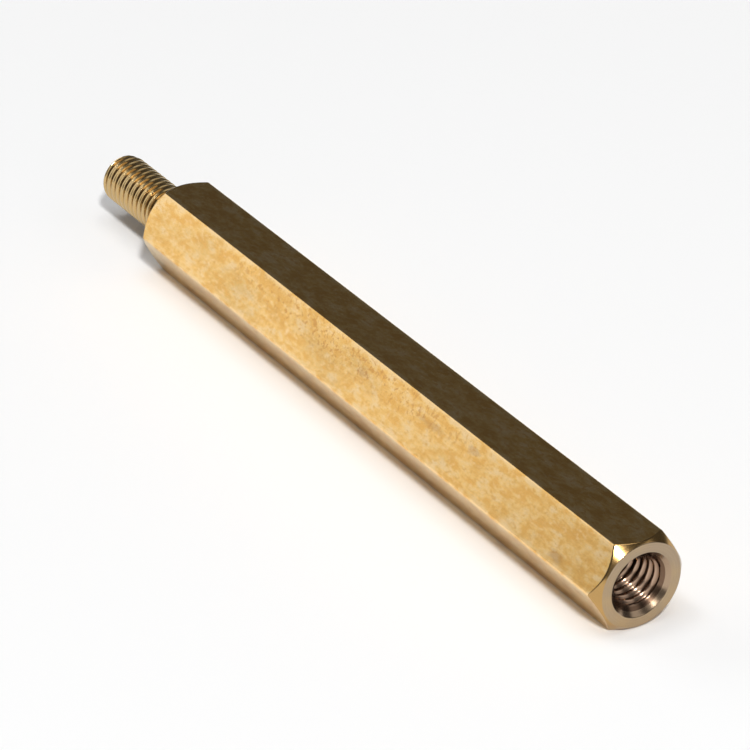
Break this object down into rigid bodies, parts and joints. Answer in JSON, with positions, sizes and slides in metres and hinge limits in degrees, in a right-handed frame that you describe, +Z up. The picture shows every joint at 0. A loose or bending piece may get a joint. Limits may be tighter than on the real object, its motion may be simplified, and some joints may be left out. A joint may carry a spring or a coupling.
{
  "type": "hex standoff",
  "caption": "Slim brass hex standoff with a tapped hole in one end, a threaded stud on the other and turned chamfers at both.",
  "frame": {"origin": "on the axis, in the plane of the shoulder that the stud stands out of", "axes": "+X along the axis to the tapped end, +Z up and square to the flat that the standoff lies on"},
  "size_m": [0.052, 0.0058, 0.005],
  "materials": {
    "brass": "drawn hex bar with fine lengthwise draw lines and a light brown tarnish, bright turned ends and threads"
  },
  "bodies": {
    "root": {"standoff": "brass"}
  },
  "joints": []
}
